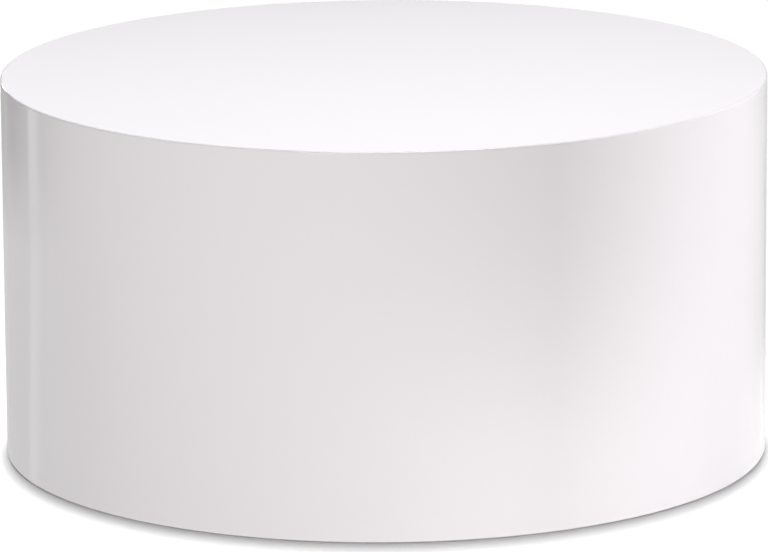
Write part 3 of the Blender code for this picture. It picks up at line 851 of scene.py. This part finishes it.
# The floor is clear from below, so that the underside can be looked at.
white_floor, tree, shader = new_material("matt_white_floor")
place = add(tree, "ShaderNodeTexCoord").outputs["Object"]
tooth = {"Vector": place, "Scale": 1 / (300 * MM), "Detail": 2.0}
mottle = add(tree, "ShaderNodeTexNoise", tooth).outputs[0]
tint = {SHARE: mottle, FIRST: linear("#E7E7E7"), SECOND: linear("#E8E8E8")}
feed(tree, shader["Base Color"], add(tree, "ShaderNodeMix", tint, data_type="RGBA").outputs[MIXED])
shader["Roughness"].default_value = 1.0
shader["Specular IOR Level"].default_value = 0.0
under = add(tree, "ShaderNodeNewGeometry").outputs["Backfacing"]
faces_up = tree.nodes["Principled BSDF"].outputs[0]
clear = add(tree, "ShaderNodeBsdfTransparent").outputs[0]
one_sided = add(tree, "ShaderNodeMixShader", {0: under, 1: faces_up, 2: clear}).outputs[0]
feed(tree, tree.nodes["Material Output"].inputs["Surface"], one_sided)
square = FLOOR_HALF * np.array([(-1, -1, 0), (1, -1, 0), (1, 1, 0), (-1, 1, 0)])
floor = make_piece("studio_floor", square, np.array([[0, 1, 2, 3]]), [white_floor])
floor.visible_diffuse = False
floor.visible_glossy = False
floor.visible_shadow = False

# The ring of floor that the wall stands over lies in its shade, and throws no light back up at it: a black
# ring that the lens doesn't see is put there as painted shade.
shade, _, shader = new_material("floor_in_shade")
shader["Base Color"].default_value = linear("#000000")
shader["Specular IOR Level"].default_value = 0.0
under_wall = np.array([(outer_radius, -SHADE_DEPTH), (outer_radius - SHADE_WIDTH, -SHADE_DEPTH)])
points, faces = skin(turned(under_wall, DRUM_SEGMENTS))
shaded_floor = make_piece("painted_shade_under_wall", points, faces, [shade])
shaded_floor.visible_camera = False
shaded_floor.visible_glossy = False

# The surround gives the light that a wide white floor throws back, whole up to the table's foot, and a
# little from above.  The gloss sees it grey, and the lens sees it white.
world = bpy.data.worlds.new("studio_surround")
world.use_nodes = True
scene.world = world
tree = world.node_tree
ray = add(tree, "ShaderNodeLightPath").outputs
direction = add(tree, "ShaderNodeTexCoord").outputs["Generated"]
rise = add(tree, "ShaderNodeSeparateXYZ", {0: direction}).outputs["Z"]
below = add(tree, "ShaderNodeMath", {0: rise, 1: 0.0}, operation="LESS_THAN").outputs[0]
thrown = add(tree, "ShaderNodeMix", {0: below, 2: SKY_LIGHT, 3: FLOOR_LIGHT}).outputs[0]
mirrored = add(tree, "ShaderNodeMix", {0: ray["Is Glossy Ray"], 2: thrown, 3: GLOSS_LIGHT}).outputs[0]
seen = add(tree, "ShaderNodeMix", {0: ray["Is Camera Ray"], 2: mirrored, 3: 1.0}).outputs[0]
feed(tree, tree.nodes["Background"].inputs["Strength"], seen)
tree.nodes["Background"].inputs["Color"].default_value = linear("#FFFFFF")

floor_alone = bpy.data.collections.new("floor_alone")
floor_alone.objects.link(floor)
all_but_floor = bpy.data.collections.new("all_but_floor")
all_but_floor.objects.link(floor)
all_but_floor.collection_objects[0].light_linking.link_state = "EXCLUDE"


def soft_light(name, place, size, power, aim=LIGHT_AIM, lights=all_but_floor, colour="#FFFFFF",
               glossy=True, spread=180):
    """A light of that width and height that faces its aim and reaches only what it is linked to.  Its
    beam fans out by the spread, in degrees."""
    data = bpy.data.lights.new(name, "AREA")
    data.shape = "ELLIPSE"
    data.spread = math.radians(spread)
    data.size, data.size_y = size
    data.energy = power
    data.color = linear(colour)[:3]
    light = bpy.data.objects.new(name, data)
    light.location = place
    light.rotation_euler = (Vector(place) - Vector(aim)).to_track_quat("Z", "Y").to_euler()
    light.visible_camera = False
    light.visible_glossy = glossy
    light.light_linking.receiver_collection = lights
    scene.collection.objects.link(light)


def round_table(azimuth, elevation, distance):
    """A place that far from the table.  Azimuth 0 is the camera's side, 90 the right."""
    a, e = math.radians(azimuth), math.radians(elevation)
    out = Vector((math.sin(a) * math.cos(e), -math.cos(a) * math.cos(e), math.sin(e)))
    return LIGHT_AIM + distance * out


BANK_PLACE = (-0.2, 22.4, 400.0)
below_bank = (*BANK_PLACE[:2], 0)
soft_light("floor_bank", BANK_PLACE, size=(22.0, 70.0), power=1.94e6, aim=below_bank, lights=floor_alone)
soft_light("overhead", (0.14, 0.05, 2.5), size=(1.3, 1.3), power=44.3, colour=COOL)

# An upright strip with a grid stands at the right and grazes the wall from the line where its bright
# side begins.
KEY_GRAZE = math.radians(25.5)
KEY_HEIGHT = 0.45
KEY_DISTANCE = 3.0
KEY_SIZE = 0.06, 1.6
KEY_SPREAD = 13.7
key_aim = Vector((outer_radius * math.sin(KEY_GRAZE), -outer_radius * math.cos(KEY_GRAZE), KEY_HEIGHT))
key_place = key_aim + KEY_DISTANCE * Vector((math.cos(KEY_GRAZE), math.sin(KEY_GRAZE), 0))
soft_light("key_right", key_place, KEY_SIZE, power=1.53, aim=key_aim, colour=COOL, glossy=False,
           spread=KEY_SPREAD)

soft_light("fill_front", round_table(-15, 8, 2.0), size=(0.5, 0.5), power=6.65)
soft_light("fill_left", round_table(-50, 10, 3.0), size=(0.8, 0.8), power=2)
soft_light("fill_back", round_table(200, 10, 3.0), size=(1.0, 1.0), power=30)

# Two low strips lift the foot of the wall, where the white floor lies close.
low = {"aim": LOW_AIM, "colour": COOL, "glossy": False}
soft_light("low_front", (-0.25, -1.27, 0.1), size=(0.5, 0.05), power=0.41, **low)
soft_light("low_right", (0.304, -0.597, 0.025), size=(0.65, 0.05), power=0.39, **low)


def gloss_board(name, grid, brightness):
    """A glowing board that only reflections see, which paints reflections on the gloss; its brightness
    given point by point on its grid.
    """
    points, faces = skin(grid)
    material, tree, _ = new_material(name)
    level = add(tree, "ShaderNodeAttribute", attribute_name="brightness").outputs["Fac"]
    glow = add(tree, "ShaderNodeEmission", {"Strength": level}).outputs[0]
    feed(tree, tree.nodes["Material Output"].inputs["Surface"], glow)
    board = make_piece(name, points, faces, [material])
    shade = board.data.attributes.new("brightness", "FLOAT", "POINT")
    shade.data.foreach_set("value", brightness.astype(np.float32).ravel())
    board.visible_camera = False
    board.visible_diffuse = False
    board.visible_shadow = False


def ramp(value, start, end):
    """Rises smoothly from 0 at the start to 1 at the end."""
    share = np.clip((value - start) / (end - start), 0, 1)
    return share * share * (3 - 2 * share)


# A glowing white board hung behind, which the flat top mirrors as a painted reflection: dim at its borders,
# and brighter towards its top by so much a metre.
BEHIND_DISTANCE = 2.0
BEHIND_HALF_WIDTH = 1.0
BEHIND_LOW = 0.45
BEHIND_HIGH = 1.45
BEHIND_STEPS = 21
BEHIND_MIDDLE = 0.78
BEHIND_LIGHT = 0.65
BEHIND_GAIN = 2.45
along = np.linspace(-BEHIND_HALF_WIDTH, BEHIND_HALF_WIDTH, BEHIND_STEPS)
x, z = np.meshgrid(along, np.linspace(BEHIND_LOW, BEHIND_HIGH, BEHIND_STEPS))
hung = np.stack([x, BEHIND_DISTANCE + 0 * x, z], -1)
inside = 1 - ramp(abs(x), 0.55, BEHIND_HALF_WIDTH)
inside = inside * ramp(z, BEHIND_LOW, 0.75) * (1 - ramp(z, 1.15, BEHIND_HIGH))
gloss_board("board_behind", hung, GLOSS_LIGHT + inside * (BEHIND_LIGHT + BEHIND_GAIN * (z - BEHIND_MIDDLE)))

SHEET_START = 0.004
SHEET_LENGTH = 1.05
SHEET_LIFT = 0.001
SHEET_HEIGHT = 0.5
SHEET_COLUMNS = 89
LYING_ROWS = 22
UPRIGHT_ROWS = 12


def beside_wall(start, end):
    """A sheet laid out from the wall, between two angles round it, along the lines on which the camera's
    view leaves its gloss: the view less twice its part along the wall's facing.  It is turned up at its
    far end.  Gives its points, and the angle, distance and height of each."""
    angle = np.linspace(start, end, SHEET_COLUMNS)
    facing = np.stack([np.sin(np.radians(angle)), -np.cos(np.radians(angle))], -1)
    view = outer_radius * facing - np.array(CAMERA_PLACE.xy)
    view /= np.linalg.norm(view, axis=1, keepdims=True)
    leaving = view - 2 * (view * facing).sum(1, keepdims=True) * facing
    lying = np.linspace(SHEET_START, SHEET_LENGTH, LYING_ROWS)
    upright = np.linspace(SHEET_LIFT, SHEET_HEIGHT, UPRIGHT_ROWS + 1)[1:]
    distance = np.concatenate([lying, np.full(UPRIGHT_ROWS, SHEET_LENGTH)])[:, None]
    height = np.concatenate([np.full(LYING_ROWS, SHEET_LIFT), upright])[:, None]
    ground = outer_radius * facing + distance[:, :, None] * leaving
    rise = np.broadcast_to(height[:, :, None], (*ground.shape[:2], 1))
    return np.concatenate([ground, rise], -1), angle, distance, height


# The glowing sheet that the wall mirrors at its left, a painted reflection: pale where it lies, darker up
# its turned-up end, least so far round, with a paler strip down it that leans a little.
LYING_LIGHT = 0.70
UPRIGHT_LIGHT = 0.60
UPRIGHT_FALL = 0.50
UPRIGHT_RETURN = 0.35
STRIP_LIGHT = 1.0
STRIP_UPRIGHT_LIGHT = 0.82
STRIP_LEAN = 2
points, angle, distance, height = beside_wall(-88, -44)
upwards = ramp(height, 0.02, 0.16)
upright = UPRIGHT_LIGHT - UPRIGHT_FALL * upwards + UPRIGHT_RETURN * upwards * ramp(-angle, 71, 80)
lying = height < 2 * SHEET_LIFT
level = np.where(lying, LYING_LIGHT, upright)
level = level + (GLOSS_LIGHT - level) * (ramp(angle, -62, -48) + ramp(-angle, 82, 88))
lean = angle + STRIP_LEAN * (1 - distance / SHEET_LENGTH)
on_strip = ramp(lean, -66, -64.8) * (1 - ramp(lean, -63.5, -60.5))
strip_level = np.where(lying, STRIP_LIGHT, STRIP_UPRIGHT_LIGHT)
gloss_board("sheet_left", points, level + (strip_level - level) * on_strip)

# The glowing sheet that it mirrors at its right, a painted reflection: white near the table and grey
# beyond.
FAR_LIGHT = 0.27
NEAR_LIGHT = 0.45
points, angle, distance, _ = beside_wall(52, 88)
close = 1 - ramp(distance, 0.1, 0.7)
level = FAR_LIGHT * ramp(angle, 56, 68) + NEAR_LIGHT * close * ramp(angle, 58, 76)
gloss_board("sheet_right", points, GLOSS_LIGHT + level * (1 - ramp(angle, 82, 88)))

# A raised glowing board on the right, which the rounded edge of the top mirrors as a painted reflection: it
# sinks towards the back, is brightest high up beside the table, where its crest paints a highlight along
# the edge, and is dim at its borders.
RAISED_DISTANCE = 3.0
RAISED_SINK = 0.4
RAISED_LIGHT = 1.3
CREST_LIGHT = 5.0
azimuth, elevation = np.meshgrid(np.linspace(50, 165, 24), np.linspace(10, 80, 29))
sunk = RAISED_SINK * (azimuth - 90)
inside = ramp(elevation + sunk, 32, 48) * (1 - ramp(elevation + sunk / 2, 60, 75))
inside = inside * ramp(azimuth, 80, 95) * (1 - ramp(azimuth, 135, 165))
crest = ramp(azimuth, 55, 75) * (1 - ramp(azimuth, 98, 122))
crest = crest * ramp(elevation, 41, 52) * (1 - ramp(elevation, 66, 80))
a, e = np.radians(azimuth), np.radians(elevation)
raised = RAISED_DISTANCE * np.stack([np.sin(a) * np.cos(e), -np.cos(a) * np.cos(e), np.sin(e)], -1)
gloss_board("board_right", raised, GLOSS_LIGHT + RAISED_LIGHT * inside + CREST_LIGHT * crest)
